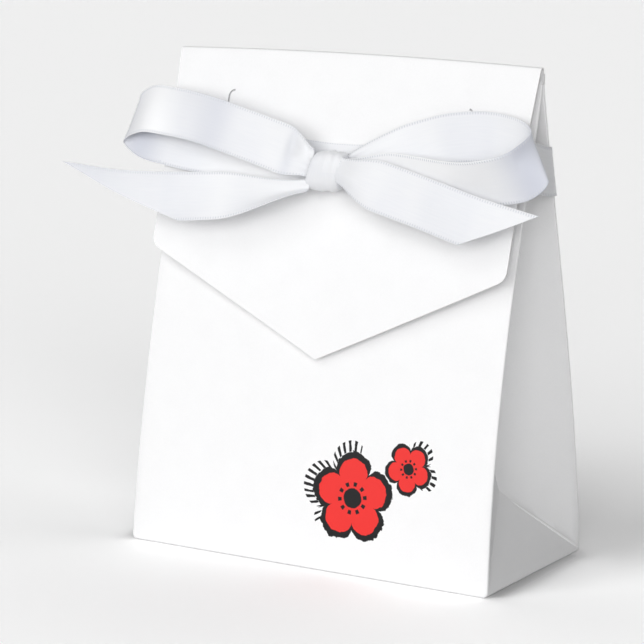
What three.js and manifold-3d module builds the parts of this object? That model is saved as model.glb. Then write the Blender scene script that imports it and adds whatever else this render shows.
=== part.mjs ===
// A tent-shaped favor box folded from one white card blank and tied with a satin ribbon bow.
// Millimetres, +Z up, +X to the right seen from the front, and the front faces -Y.
// The origin is the middle of the base on the table.
import * as THREE from "three";
import { mergeVertices } from "three/addons/utils/BufferGeometryUtils.js";
import Module from "manifold-3d";

// The box
const WIDTH = 106;
const DEPTH = 51;
const HEIGHT = 127.5;
const CARD = 0.35;
const GAP = 0.3;

// The front and back panels stand nearly upright at the foot and lean in more and more above it.
const LEAN_START = 0.345;
const LEAN_GROWTH = 1.19;
const LEAN_EASE = -0.51;
const CLOSED_HALF_DEPTH = 0.6;
const FRONT_WAIST = 0.9;
const BACK_WAIST = 0.1;

// The ridge and what ends below it
const RIDGE_RADIUS = 0.7;
const RIDGE_SETBACK = 0.2;
const RIDGE_TUCK_ANGLE = 30;
const RIDGE_STEPS = 10;
const FRONT_BELOW_RIDGE = 3;
const GUSSET_BELOW_RIDGE = 7;

// The side gussets, folded from half the depth on each side of their valley
const APEX_HEIGHT = 18.9;
const APEX_HALF_WIDTH = 0.4;
const FOOT_LIFT = 1;

// The flap and its ribbon slits
const FLAP_INSET = 1.1;
const FLAP_RIDGE_INSET = 0.3;
const FLAP_HALF_WIDTH = WIDTH / 2 - FLAP_INSET;
const FLAP_RIDGE_HALF_WIDTH = WIDTH / 2 - FLAP_RIDGE_INSET;
const FLAP_TAPER_LENGTH = 16;
const FLAP_SIDE_LENGTH = 52;
const FLAP_TIP_LENGTH = 76.5;
const FLAP_CORNER_RADIUS = 2;
const FLAP_LEAN = 14.2;
const FLAP_CORNER_FLARE = 3;
const SLIT_FROM_MIDDLE = 35.6;
const SLIT_TOP = 10.3;
const SLIT_LENGTH = 25;
const SLIT_WIDTH = 0.5;
const SLIT_HOOK = 1.2;

// The tabs that hold the blank together
const GLUE_TAB_WIDTH = 8;
const GLUE_TAB_INSET = 2.2;
const GLUE_TAB_FOOT = 6;
const GLUE_TAB_BELOW_RIDGE = 38;
const BASE_FLAP_WIDTH = 14;
const BASE_FLAP_INSET = 1;
const BASE_FLAP_TAPER = 4.5;

// The ribbon
const RIBBON_WIDTH = 12.7;
const RIBBON = 0.3;
const BAND_BELOW_RIDGE = 25.9;
const BAND_CORNER = 0.2;
const BAND_FRONT_RISE = 2.6;
const BAND_DRAWN = 0.35;
const BAND_DRAWN_REACH = 36;
const KNOT_FROM_MIDDLE = -0.7;
const KNOT_BELOW_BAND = 1.7;
const KNOT_WIDTH = 0.7 * RIBBON_WIDTH;
const KNOT_HEIGHT = 0.81 * RIBBON_WIDTH;
const KNOT_DEPTH = 0.5 * RIBBON_WIDTH;
const KNOT_TILT = 14;
const KNOT_TAPER = 0.09;
const KNOT_ROUNDING = 0.4;
const KNOT_FOLDS = 3;
const KNOT_FOLD_DEPTH = 0.2;
const LEFT_TAIL_CUT = 2.91 * RIBBON_WIDTH;
const RIGHT_TAIL_CUT = 1.42 * RIBBON_WIDTH;

const CARD_WHITE = 0xf7f7f8;
const SATIN_WHITE = 0xeef0f6;

const cardMaterial = () =>
  new THREE.MeshStandardMaterial({ color: CARD_WHITE, roughness: 0.62, metalness: 0 });

const satinMaterial = () =>
  new THREE.MeshStandardMaterial({ color: SATIN_WHITE, roughness: 0.38, metalness: 0 });

const wasm = await Module();
wasm.setup();

const radians = (degrees) => (degrees * Math.PI) / 180;
const mix = (a, b, share) => a + (b - a) * share;

// Half the width of the front or back at height z: both are drawn in a little half-way up.
const halfWidth = (z, waist) => WIDTH / 2 - waist * Math.sin((Math.PI * z) / HEIGHT);
const waistOf = (facing) => (facing < 0 ? FRONT_WAIST : BACK_WAIST);

// How far the outer face of the front or back panel stands from the middle plane at height z.
function halfDepth(z) {
  const t = z / HEIGHT;
  const leaned = LEAN_START * t + LEAN_GROWTH * t ** 2 + LEAN_EASE * t ** 3;
  return Math.hypot((DEPTH / 2) * Math.max(1 - leaned, 0), CLOSED_HALF_DEPTH);
}

// How far the valley of a side gusset is drawn in from the side edges at height z.
function valleyInset(z) {
  const half = Math.min(halfDepth(z), DEPTH / 2);
  return Math.sqrt((DEPTH / 2) ** 2 - half ** 2);
}

const valleyFromMiddle = (z) => halfWidth(z, (FRONT_WAIST + BACK_WAIST) / 2) - valleyInset(z);

// A closed solid from two skins of the same grid, joined round their edges.
function solidFromSkins(columns, rows, skin) {
  const points = [];
  for (const side of [0, 1]) {
    for (let i = 0; i <= columns; i++) {
      for (let j = 0; j <= rows; j++) points.push(skin(i / columns, j / rows, side));
    }
  }
  const at = (side, i, j) => (side * (columns + 1) + i) * (rows + 1) + j;
  const triangles = [];
  const quad = (a, b, c, d) => triangles.push(a, b, c, a, c, d);
  for (let i = 0; i < columns; i++) {
    for (let j = 0; j < rows; j++) {
      quad(at(0, i, j), at(0, i + 1, j), at(0, i + 1, j + 1), at(0, i, j + 1));
      quad(at(1, i, j), at(1, i, j + 1), at(1, i + 1, j + 1), at(1, i + 1, j));
    }
    quad(at(0, i, 0), at(1, i, 0), at(1, i + 1, 0), at(0, i + 1, 0));
    quad(at(0, i, rows), at(0, i + 1, rows), at(1, i + 1, rows), at(1, i, rows));
  }
  for (let j = 0; j < rows; j++) {
    quad(at(0, 0, j), at(0, 0, j + 1), at(1, 0, j + 1), at(1, 0, j));
    quad(at(0, columns, j), at(1, columns, j), at(1, columns, j + 1), at(0, columns, j + 1));
  }
  return facingOut(points, triangles);
}

// A geometry whose triangles are turned round where they would enclose a negative volume.
function facingOut(points, triangles) {
  let volume = 0;
  for (let k = 0; k < triangles.length; k += 3) {
    const [a, b, c] = [points[triangles[k]], points[triangles[k + 1]], points[triangles[k + 2]]];
    volume += a.dot(b.clone().cross(c));
  }
  if (volume < 0) triangles.reverse();
  const geometry = new THREE.BufferGeometry().setFromPoints(points);
  geometry.setIndex(triangles);
  return geometry;
}

// A sheet of even thickness about a middle surface given by middle(across, up).
function sheet(columns, rows, thickness, middle) {
  const step = 1e-3;
  return solidFromSkins(columns, rows, (u, v, side) => {
    const u0 = Math.max(u - step, 0);
    const u1 = Math.min(u + step, 1);
    const v0 = Math.max(v - step, 0);
    const v1 = Math.min(v + step, 1);
    const across = middle(u1, v).sub(middle(u0, v));
    const up = middle(u, v1).sub(middle(u, v0));
    const normal = across.cross(up).normalize();
    return middle(u, v).addScaledVector(normal, (side - 0.5) * thickness);
  });
}

function toManifold(geometry) {
  const merged = mergeVertices(geometry, 1e-4);
  const vertProperties = new Float32Array(merged.attributes.position.array);
  const triVerts = new Uint32Array(merged.index.array);
  return new wasm.Manifold(new wasm.Mesh({ numProp: 3, vertProperties, triVerts }));
}

function fromManifold(solid) {
  const { vertProperties, triVerts, numProp } = solid.getMesh();
  const positions = [];
  for (let k = 0; k < vertProperties.length; k += numProp) {
    positions.push(vertProperties[k], vertProperties[k + 1], vertProperties[k + 2]);
  }
  const geometry = new THREE.BufferGeometry();
  geometry.setAttribute("position", new THREE.Float32BufferAttribute(positions, 3));
  geometry.setIndex(Array.from(triVerts));
  return geometry;
}

function named(name, geometry, material) {
  const shaded = geometry.index ? geometry.toNonIndexed() : geometry;
  shaded.computeVertexNormals();
  const mesh = new THREE.Mesh(shaded, material);
  mesh.name = name;
  return mesh;
}

const SIDES = [
  ["left", -1],
  ["right", 1],
];

// A front or back panel: facing is -1 for the front and +1 for the back.
function panel(facing, top) {
  const middleDepth = (z) => facing * (halfDepth(z) - CARD / 2);
  return sheet(8, 20, CARD, (u, v) => {
    const z = v * top;
    return new THREE.Vector3(mix(-1, 1, u) * halfWidth(z, waistOf(facing)), middleDepth(z), z);
  });
}

// The base lies between the feet of the front and back panels.
function basePanel() {
  const depth = DEPTH - 2 * (CARD + GAP);
  return new THREE.BoxGeometry(WIDTH, depth, CARD).translate(0, 0, CARD / 2);
}

// A dust flap turned in from the foot of a side and lying on the base.
function baseFlap(side) {
  const outer = WIDTH / 2 - BASE_FLAP_INSET;
  const halfLength = DEPTH / 2 - BASE_FLAP_INSET - 2 * (CARD + GAP);
  const outline = new THREE.Shape([
    new THREE.Vector2(side * outer, -halfLength),
    new THREE.Vector2(side * outer, halfLength),
    new THREE.Vector2(side * (outer - BASE_FLAP_WIDTH), halfLength - BASE_FLAP_TAPER),
    new THREE.Vector2(side * (outer - BASE_FLAP_WIDTH), BASE_FLAP_TAPER - halfLength),
  ]);
  const flat = new THREE.ExtrudeGeometry(outline, { depth: CARD, bevelEnabled: false });
  return flat.translate(0, 0, CARD + GAP);
}

// The triangle at the foot of a side leans in from the base to the point where the valley starts.
function gussetTriangle(side) {
  const foot = new THREE.Vector2(WIDTH / 2 - CARD / 2, CARD + GAP);
  const apex = new THREE.Vector2(foot.x - valleyInset(APEX_HEIGHT) - GAP, APEX_HEIGHT - GAP);
  const halfBase = DEPTH / 2 - CARD - 3 * GAP;
  return sheet(2, 6, CARD, (u, v) => {
    const half = mix(halfBase, APEX_HALF_WIDTH, v);
    return new THREE.Vector3(
      side * mix(foot.x, apex.x, v),
      mix(-half, half, u),
      mix(foot.y, apex.y, v),
    );
  });
}

// The middle of a card that lies one gap behind the outer card of the front or back.
const secondLayer = (z) => halfDepth(z) - 1.5 * CARD - GAP;

// Half a side gusset, ruled from the side edge of its panel to the valley.
function gussetHalf(side, facing) {
  const top = HEIGHT - GUSSET_BELOW_RIDGE;
  const valleyHalf = (GAP + CARD) / 2;
  return sheet(8, 20, CARD, (u, v) => {
    const edgeZ = mix(FOOT_LIFT, top, v);
    const valleyZ = mix(APEX_HEIGHT + FOOT_LIFT / 2, top, v);
    const edge = new THREE.Vector3(
      side * (halfWidth(edgeZ, waistOf(facing)) - CARD / 2),
      facing * Math.max(secondLayer(edgeZ), valleyHalf),
      edgeZ,
    );
    const valley = new THREE.Vector3(
      side * valleyFromMiddle(valleyZ),
      facing * valleyHalf,
      valleyZ,
    );
    return edge.lerp(valley, u);
  });
}

// A glue tab lies flat behind the front panel, just inside its side edge.
function glueTab(side) {
  return sheet(1, 14, CARD, (u, v) => {
    const z = mix(GLUE_TAB_FOOT, HEIGHT - GLUE_TAB_BELOW_RIDGE, v);
    const x = halfWidth(z, FRONT_WAIST) - GLUE_TAB_INSET - u * GLUE_TAB_WIDTH;
    return new THREE.Vector3(side * x, -secondLayer(z), z);
  });
}

const ridgeAxis = { y: RIDGE_SETBACK, z: HEIGHT - RIDGE_RADIUS };

// The rolled card of the ridge, from the top of the back panel over to the front.
function ridgeFold() {
  return solidFromSkins(1, RIDGE_STEPS, (u, v, side) => {
    const angle = radians(mix(-RIDGE_TUCK_ANGLE, 180, v));
    const radius = RIDGE_RADIUS - side * CARD;
    return new THREE.Vector3(
      mix(-1, 1, u) * FLAP_RIDGE_HALF_WIDTH,
      ridgeAxis.y + radius * Math.cos(angle),
      ridgeAxis.z + radius * Math.sin(angle),
    );
  });
}

// The flap leans out a little more towards its side edges.
const flapLean = (x) => radians(FLAP_LEAN + FLAP_CORNER_FLARE * (x / FLAP_HALF_WIDTH) ** 2);

// A place on the flap: x across, down along the card from the ridge, off out from its back face.
function onFlap(x, down, off) {
  const lean = flapLean(x);
  const radius = RIDGE_RADIUS + GAP + off;
  return new THREE.Vector3(
    x,
    ridgeAxis.y - radius * Math.cos(lean) - down * Math.sin(lean),
    ridgeAxis.z + radius * Math.sin(lean) - down * Math.cos(lean),
  );
}

// How far down the flap reaches at x: a V edge, rounded off where it meets the side edges.
function flapLength(x) {
  const fromMiddle = Math.abs(x);
  const intoCorner = Math.max(fromMiddle - (FLAP_HALF_WIDTH - FLAP_CORNER_RADIUS), 0);
  const rounding = FLAP_CORNER_RADIUS - Math.sqrt(FLAP_CORNER_RADIUS ** 2 - intoCorner ** 2);
  return mix(FLAP_TIP_LENGTH, FLAP_SIDE_LENGTH, fromMiddle / FLAP_HALF_WIDTH) - rounding;
}

// A cutter for the ribbon slit beside one edge of the flap, with its top hooked towards the middle.
function slitCutter(side) {
  const place = (inward, down) => new THREE.Vector3(side * (SLIT_FROM_MIDDLE - inward), down, 0);
  const route = new THREE.CurvePath();
  route.add(new THREE.LineCurve3(place(0, SLIT_TOP + SLIT_LENGTH), place(0, SLIT_TOP + SLIT_HOOK)));
  route.add(
    new THREE.QuadraticBezierCurve3(
      place(0, SLIT_TOP + SLIT_HOOK),
      place(0, SLIT_TOP),
      place(SLIT_HOOK, SLIT_TOP),
    ),
  );
  const centre = route.curves.flatMap((curve, k) => curve.getPoints(k ? 6 : 8).slice(k ? 1 : 0));
  const clear = 1;
  return solidFromSkins(1, centre.length - 1, (u, v, face) => {
    const k = Math.round(v * (centre.length - 1));
    const ahead = centre[Math.min(k + 1, centre.length - 1)];
    const behind = centre[Math.max(k - 1, 0)];
    const along = ahead.clone().sub(behind).normalize();
    const reach = (u - 0.5) * SLIT_WIDTH;
    const off = face ? CARD + clear : -clear;
    return onFlap(centre[k].x - along.y * reach, centre[k].y + along.x * reach, off);
  });
}

// The flap is as wide as the ridge at its root and tapers to its own width below it.
function flapHalfWidth(down) {
  return mix(FLAP_RIDGE_HALF_WIDTH, FLAP_HALF_WIDTH, Math.min(down / FLAP_TAPER_LENGTH, 1));
}

function flap() {
  const whole = solidFromSkins(32, 6, (u, v, side) => {
    const across = Math.sin((Math.PI / 2) * mix(-1, 1, u));
    const down = v * flapLength(across * FLAP_HALF_WIDTH);
    return onFlap(across * flapHalfWidth(down), down, side * CARD);
  });
  let cut = toManifold(whole);
  for (const [, side] of SIDES) cut = cut.subtract(toManifold(slitCutter(side)));
  return fromManifold(cut);
}

// Where the flap's front face lies at x and height z.
function flapFrontDepth(x, z) {
  const lean = flapLean(x);
  const radius = RIDGE_RADIUS + GAP + CARD;
  const down = (ridgeAxis.z + radius * Math.sin(lean) - z) / Math.cos(lean);
  return onFlap(x, down, CARD).y;
}

const bandHeight = HEIGHT - BAND_BELOW_RIDGE;
const bandRise = (RIBBON_WIDTH / 2) * Math.cos(radians(FLAP_LEAN));

// The knot lies two gaps in front of the band, so that it clears the runs that pass behind it.
const knotHeight = bandHeight - KNOT_BELOW_BAND;
const knotBack = flapFrontDepth(KNOT_FROM_MIDDLE, knotHeight) - 3 * GAP - RIBBON;
const KNOT = new THREE.Vector3(KNOT_FROM_MIDDLE, knotBack - KNOT_DEPTH / 2, knotHeight);

// Height of the band's lower (edge -1) or upper (edge 1) edge in front: drawn together at the knot.
function bandFrontHeight(x, edge) {
  const open = THREE.MathUtils.smoothstep(Math.abs(x - KNOT.x), 0, BAND_DRAWN_REACH);
  const atKnot = KNOT.z + edge * bandRise * BAND_DRAWN;
  return mix(atKnot, bandHeight + BAND_FRONT_RISE + edge * bandRise, open);
}

// One edge of the band, off out from the card: over the flap, round both sides and the back. It is as
// wide as the card's widest place, so that it slides off over the ridge.
function bandEdge(edge, off) {
  const frontSteps = 28;
  const cornerSteps = 4;
  const radius = BAND_CORNER + off;
  const reach = WIDTH / 2 + off - radius;
  const frontZ = bandFrontHeight(reach, edge);
  const front = flapFrontDepth(reach, frontZ) - off;
  const backZ = bandHeight + edge * bandRise;
  const back = halfDepth(backZ) + off;
  const route = [];
  const add = (x, y, z) => route.push(new THREE.Vector3(x, y, z));
  const turn = (cx, cy, z, from, steps) => {
    for (let k = 1; k <= steps; k++) {
      const angle = radians(from + (90 * k) / cornerSteps);
      add(cx + radius * Math.cos(angle), cy + radius * Math.sin(angle), z);
    }
  };
  for (let k = 0; k <= frontSteps; k++) {
    const x = mix(-reach, reach, k / frontSteps);
    const z = k === 0 || k === frontSteps ? frontZ : bandFrontHeight(x, edge);
    add(x, flapFrontDepth(x, z) - off, z);
  }
  turn(reach, front + radius, frontZ, -90, cornerSteps);
  add(reach + radius, back - radius, backZ);
  turn(reach, back - radius, backZ, 0, cornerSteps);
  add(-reach, back, backZ);
  turn(-reach, back - radius, backZ, 90, cornerSteps);
  add(-reach - radius, front + radius, frontZ);
  turn(-reach, front + radius, frontZ, 180, cornerSteps - 1);
  return route;
}

// The ribbon's closed band round the box, between its lower and upper edges.
function ribbonBand() {
  const rings = [
    bandEdge(-1, GAP),
    bandEdge(1, GAP),
    bandEdge(1, GAP + RIBBON),
    bandEdge(-1, GAP + RIBBON),
  ];
  const steps = rings[0].length;
  const triangles = [];
  for (let edge = 0; edge < rings.length; edge++) {
    const next = (edge + 1) % rings.length;
    for (let k = 0; k < steps; k++) {
      const a = edge * steps + k;
      const b = edge * steps + ((k + 1) % steps);
      const c = next * steps + ((k + 1) % steps);
      const d = next * steps + k;
      triangles.push(a, b, c, a, c, d);
    }
  }
  return facingOut(rings.flat(), triangles);
}

// A run of ribbon along a smooth route. Each stop is [right, out, up, lean, slant]: its place from the
// middle of the knot in ribbon widths, then two tilts in degrees. lean tips the ribbon's upper edge back
// from upright, and slant tips it to the left. near and far are the ends drawn together in the knot,
// each as [width, reach] in ribbon widths. cut shortens the lower edge of the far end.
function ribbonRun(stops, { near, far, cut = 0, steps = 40 } = {}) {
  const smooth = (points) => new THREE.CatmullRomCurve3(points, false, "centripetal");
  const place = ([right, out, up]) =>
    new THREE.Vector3(right, -out, up).multiplyScalar(RIBBON_WIDTH).add(KNOT);
  const route = smooth(stops.map(place));
  const evenStep = 10;
  const tilts = smooth(
    stops.map(([, , , lean, slant], k) => new THREE.Vector3(lean, slant, k * evenStep)),
  );
  const length = route.getLength();
  const opened = (gather, distance) => {
    if (!gather) return 1;
    const [width, reach] = gather;
    return mix(width, 1, THREE.MathUtils.smoothstep(distance, 0, reach * RIBBON_WIDTH));
  };
  return sheet(steps, 4, RIBBON, (u, v) => {
    const share = u * (1 - ((1 - v) * cut) / length);
    const parameter = route.getUtoTmapping(share);
    const tilt = tilts.getPoint(parameter);
    const lean = radians(tilt.x);
    const slant = radians(tilt.y);
    const edge = new THREE.Vector3(
      -Math.sin(slant),
      Math.sin(lean) * Math.cos(slant),
      Math.cos(lean) * Math.cos(slant),
    );
    const width = RIBBON_WIDTH * opened(near, share * length) * opened(far, (1 - share) * length);
    return route.getPoint(parameter).addScaledVector(edge, (v - 0.5) * width);
  });
}

// Where a run starts beside the knot on one side, in ribbon widths right of the knot's middle. The
// knot's side is slanted by its tilt and taper and rounds off; up and out are where the run meets it.
function besideKnot(side, up, out) {
  const rise = (up * RIBBON_WIDTH) / (KNOT_HEIGHT / 2);
  const offMiddle = Math.min(Math.hypot(rise, (out * RIBBON_WIDTH) / (KNOT_DEPTH / 2)), 0.75);
  const rounded = (1 - offMiddle ** (1 / KNOT_ROUNDING)) ** 0.25;
  const clear = (KNOT_WIDTH / 2) * (1 - KNOT_TAPER * rise) * rounded + GAP + RIBBON / 2;
  return (side * clear) / RIBBON_WIDTH + up * Math.tan(radians(KNOT_TILT));
}

// The left loop leaves the knot in front, turns at its far end and comes back lower and behind.
function leftLoop() {
  return ribbonRun(
    [
      [besideKnot(-1, 0.13, 0.05), 0.05, 0.13, 10, -KNOT_TILT],
      [-0.89, 0.1, 0.35, 13, -14],
      [-1.91, 0.16, 0.64, 12, -16],
      [-2.86, 0.16, 0.86, 3, -13],
      [-3.65, 0.11, 0.96, 10, -9],
      [-4.35, 0.02, 0.96, 20, -8],
      [-4.81, -0.12, 0.69, 12, -16],
      [-4.55, -0.18, 0.43, 14, -14],
      [-3.88, -0.19, 0.29, 15, -10],
      [-2.78, -0.18, 0.17, 15, -7],
      [-1.52, -0.17, 0.06, 15, -8],
      [besideKnot(-1, -0.01, -0.14), -0.14, -0.01, 12, -KNOT_TILT],
    ],
    { near: [0.59, 0.71], far: [0.55, 0.94], steps: 64 },
  );
}

// The right loop leaves the knot behind, turns at its far end and comes back lower and in front.
function rightLoop() {
  return ribbonRun(
    [
      [besideKnot(1, 0.09, -0.1), -0.16, 0.09, 12, -KNOT_TILT],
      [0.76, -0.2, 0.26, 14, 10],
      [1.55, -0.27, 0.5, 15, 17],
      [2.57, -0.33, 0.78, 15, 12],
      [3.68, -0.3, 0.84, 13, 8],
      [4.65, -0.01, 0.61, 8, 26],
      [4.39, 0.25, 0.26, -14, 20],
      [3.6, 0.3, 0.05, -24, 12],
      [2.73, 0.22, -0.03, -17, 4],
      [1.63, 0.11, -0.02, -2, 0],
      [besideKnot(1, 0.02, 0), 0, 0.02, 8, -KNOT_TILT],
    ],
    { near: [0.51, 1.57], far: [0.51, 1.26], steps: 64 },
  );
}

// The left tail hangs out level and is cut on a long slant.
function leftTail() {
  return ribbonRun(
    [
      [besideKnot(-1, -0.3, 0.22), 0.22, -0.3, 35, -KNOT_TILT],
      [-1.52, 0.4, -0.51, 32, 12],
      [-2.46, 0.52, -0.62, 20, 7],
      [-3.57, 0.63, -0.7, 12, 3],
      [-4.67, 0.73, -0.72, 8, 0],
      [-6.05, 0.77, -0.65, 8, -4],
    ],
    { near: [0.28, 2.05], cut: LEFT_TAIL_CUT, steps: 36 },
  );
}

// The right tail falls away under its loop.
function rightTail() {
  return ribbonRun(
    [
      [besideKnot(1, 0.07, 0.19), 0.19, 0.07, 12, -KNOT_TILT],
      [0.84, 0.33, -0.04, 14, -12],
      [1.55, 0.41, -0.2, 14, -14],
      [2.42, 0.48, -0.39, 12, -16],
      [3.52, 0.54, -0.67, 12, -15],
      [4.78, 0.51, -0.94, 14, -10],
    ],
    { near: [0.51, 1.1], cut: RIGHT_TAIL_CUT, steps: 36 },
  );
}

// The knot is a short wrap of ribbon with soft folds round it. It tapers upwards and tilts to the right.
function knot() {
  const rings = 18;
  const around = 24;
  const points = [];
  const place = (along, radius, turn) => {
    const rise = radius * Math.sin(turn);
    const width = (KNOT_WIDTH / 2) * (1 - KNOT_TAPER * rise);
    const lift = (KNOT_HEIGHT / 2) * rise;
    return new THREE.Vector3(
      KNOT.x + along * width + lift * Math.tan(radians(KNOT_TILT)),
      KNOT.y + (KNOT_DEPTH / 2) * radius * Math.cos(turn),
      KNOT.z + lift,
    );
  };
  for (let i = 1; i < rings; i++) {
    const along = -Math.cos(Math.PI * (i / rings));
    const swell = (1 - along ** 4) ** KNOT_ROUNDING;
    const folded = 1 - (KNOT_FOLD_DEPTH / KNOT_DEPTH) * (1 - Math.cos(Math.PI * KNOT_FOLDS * along));
    for (let k = 0; k < around; k++) {
      points.push(place(along, swell * folded, (2 * Math.PI * k) / around));
    }
  }
  const first = points.push(place(-1, 0, 0)) - 1;
  const last = points.push(place(1, 0, 0)) - 1;
  const triangles = [];
  for (let k = 0; k < around; k++) {
    const next = (k + 1) % around;
    triangles.push(first, next, k);
    for (let i = 0; i < rings - 2; i++) {
      const a = i * around + k;
      const b = i * around + next;
      triangles.push(a, b, b + around, a, b + around, a + around);
    }
    const end = (rings - 2) * around;
    triangles.push(last, end + k, end + next);
  }
  return facingOut(points, triangles);
}

const box = new THREE.Group();
box.add(
  named("base_panel", basePanel(), cardMaterial()),
  named("back_panel", panel(1, HEIGHT - 2 * RIDGE_RADIUS), cardMaterial()),
  named("front_panel", panel(-1, HEIGHT - FRONT_BELOW_RIDGE), cardMaterial()),
  named("ridge_fold", ridgeFold(), cardMaterial()),
  named("flap", flap(), cardMaterial()),
);
for (const [word, side] of SIDES) {
  box.add(
    named(`base_flap_${word}`, baseFlap(side), cardMaterial()),
    named(`gusset_triangle_${word}`, gussetTriangle(side), cardMaterial()),
    named(`gusset_back_${word}`, gussetHalf(side, 1), cardMaterial()),
    named(`gusset_front_${word}`, gussetHalf(side, -1), cardMaterial()),
    named(`glue_tab_${word}`, glueTab(side), cardMaterial()),
  );
}

const ribbon = new THREE.Group();
ribbon.add(
  named("ribbon_band", ribbonBand(), satinMaterial()),
  named("ribbon_knot", knot(), satinMaterial()),
  named("ribbon_loop_left", leftLoop(), satinMaterial()),
  named("ribbon_loop_right", rightLoop(), satinMaterial()),
  named("ribbon_tail_left", leftTail(), satinMaterial()),
  named("ribbon_tail_right", rightTail(), satinMaterial()),
);

const favorBox = new THREE.Group();
favorBox.add(box, ribbon);

export default favorBox;
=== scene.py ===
# %% [markdown]
# # A tent-shaped favor box tied with a ribbon
# The real box is one blank of smooth white card. It is creased, folded and glued into a bag shape with
# pleated sides, its pointed flap folds down over the front, and a satin ribbon bow holds it shut.
# The measured frame comes first: it holds the flat panels and the plain ribbon runs as solids, and it
# knows which of them move. This lesson makes the pieces that are seen, in the same place and size.

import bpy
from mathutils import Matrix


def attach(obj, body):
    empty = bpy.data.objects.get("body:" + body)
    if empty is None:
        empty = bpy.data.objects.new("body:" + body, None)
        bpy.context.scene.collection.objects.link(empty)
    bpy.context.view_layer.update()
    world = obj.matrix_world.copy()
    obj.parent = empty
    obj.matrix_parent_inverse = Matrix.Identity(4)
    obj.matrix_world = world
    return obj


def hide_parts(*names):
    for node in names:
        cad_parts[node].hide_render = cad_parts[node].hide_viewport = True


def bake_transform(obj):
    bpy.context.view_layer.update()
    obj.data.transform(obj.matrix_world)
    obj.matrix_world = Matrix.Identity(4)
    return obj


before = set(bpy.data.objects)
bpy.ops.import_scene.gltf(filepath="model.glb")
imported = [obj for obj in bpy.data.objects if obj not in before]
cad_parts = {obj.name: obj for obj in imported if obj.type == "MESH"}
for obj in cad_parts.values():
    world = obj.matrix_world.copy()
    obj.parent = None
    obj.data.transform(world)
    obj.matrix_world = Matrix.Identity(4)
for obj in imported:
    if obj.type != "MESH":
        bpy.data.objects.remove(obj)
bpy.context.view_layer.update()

# %% The modules that the lesson uses
import math

import bpy
from mathutils import Quaternion, Vector, noise

# %% [markdown]
# ## The camera
# A box with straight edges shows its view exactly, so the camera was worked out from the places of its
# corners: how far it turns round the box, how high it stands and how long its lens is. The small shifts
# say that the picture was cropped a little off the middle of the lens.

# %% Place the camera
AZIMUTH = math.radians(31.67)
ELEVATION = math.radians(11.62)
ROLL = math.radians(0.09)
LOOK_AT = Vector((-0.01397, 0.0, 0.04907))
DISTANCE = 0.7243
LENS_MM = 155.26
SHIFT = (0.0203, 0.0517)


def direction(turn, tilt):
    """The way from the box to a place that is turned round it from the front and tilted up."""
    level = math.cos(tilt)
    return Vector((math.sin(turn) * level, -math.cos(turn) * level, math.sin(tilt)))


backwards = direction(AZIMUTH, ELEVATION)
bpy.ops.object.camera_add(location=LOOK_AT + DISTANCE * backwards)
camera = bpy.context.object
camera.name = "camera"
camera.rotation_mode = "QUATERNION"
camera.rotation_quaternion = Quaternion(backwards, ROLL) @ (-backwards).to_track_quat("-Z", "Y")
camera.data.lens = LENS_MM
camera.data.sensor_width = 36
camera.data.shift_x, camera.data.shift_y = SHIFT
camera.data.clip_start = 0.01
camera.data.clip_end = 10
bpy.context.scene.camera = camera
print("camera at", [round(value, 4) for value in camera.location])

# %% [markdown]
# ## The sizes of the box
# All lengths are in millimetres, as a card cutter would give them, and are turned into metres when a
# piece is laid out. They are the same as in the measured frame. The front and back lean together in a
# gentle curve, and the fold in the middle of each side is drawn in as they close.

# %% Name the sizes
MM = 0.001
WIDTH = 106
DEPTH = 51
HEIGHT = 127.5
CARD = 0.35
FRONT_WAIST = 0.9
BACK_WAIST = 0.1
LEAN_START = 0.345
LEAN_GROWTH = 1.19
LEAN_EASE = -0.51
CLOSED_HALF_DEPTH = 0.6
FOLD = 0.5
FOOT_CORNER = 1.4
FRONT_TOP = HEIGHT - 3
BACK_TOP = HEIGHT - 1.4
GUSSET_TOP = HEIGHT - 4
APEX = 18.9
VALLEY_HALF = 0.15
CREASE_CLEAR = 0.05
RIDGE_BOW = 0.85
RIDGE_BOW_REACH = 24


def mix(a, b, share):
    return a + (b - a) * share


def steps(start, end, count):
    return [mix(start, end, k / count) for k in range(count + 1)]


def smooth(share):
    share = min(max(share, 0), 1)
    return share * share * (3 - 2 * share)


def half_depth(z):
    t = z / HEIGHT
    leaned = LEAN_START * t + LEAN_GROWTH * t**2 + LEAN_EASE * t**3
    return math.hypot(DEPTH / 2 * max(1 - leaned, 0), CLOSED_HALF_DEPTH)


def half_width(z, waist):
    """Half the width of the front or back, drawn in half-way up and rounded at the foot's corners."""
    rounding = 0
    if z < FOOT_CORNER:
        rounding = FOOT_CORNER - math.sqrt(FOOT_CORNER**2 - (FOOT_CORNER - z) ** 2)
    return WIDTH / 2 - waist * math.sin(math.pi * z / HEIGHT) - rounding


def valley_inset(z):
    half = min(half_depth(z), DEPTH / 2)
    return math.sqrt((DEPTH / 2) ** 2 - half**2)


def valley_spot(side, facing, z):
    """A point of the valley crease of a side pleat, on its front (-1) or back (1) half."""
    x = WIDTH / 2 - (FRONT_WAIST + BACK_WAIST) / 2 * math.sin(math.pi * z / HEIGHT) - valley_inset(z)
    return Vector((side * x, facing * min(VALLEY_HALF, half_depth(z) - CLOSED_HALF_DEPTH), z))


def fold_radius(z):
    """The upright creases turn tighter where the box closes towards the ridge."""
    return min(FOLD, (half_depth(z) - CREASE_CLEAR) / 2)


def ridge_rise(x, z):
    """The ridge bows up a little between its ends, and the card below it less and less."""
    across = 1 - (x / (WIDTH / 2)) ** 2
    return RIDGE_BOW * across * smooth(1 - (HEIGHT - z) / RIDGE_BOW_REACH)


print("half depth at the foot, middle and ridge:", [round(half_depth(z), 2) for z in (0, 60, HEIGHT)])

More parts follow.
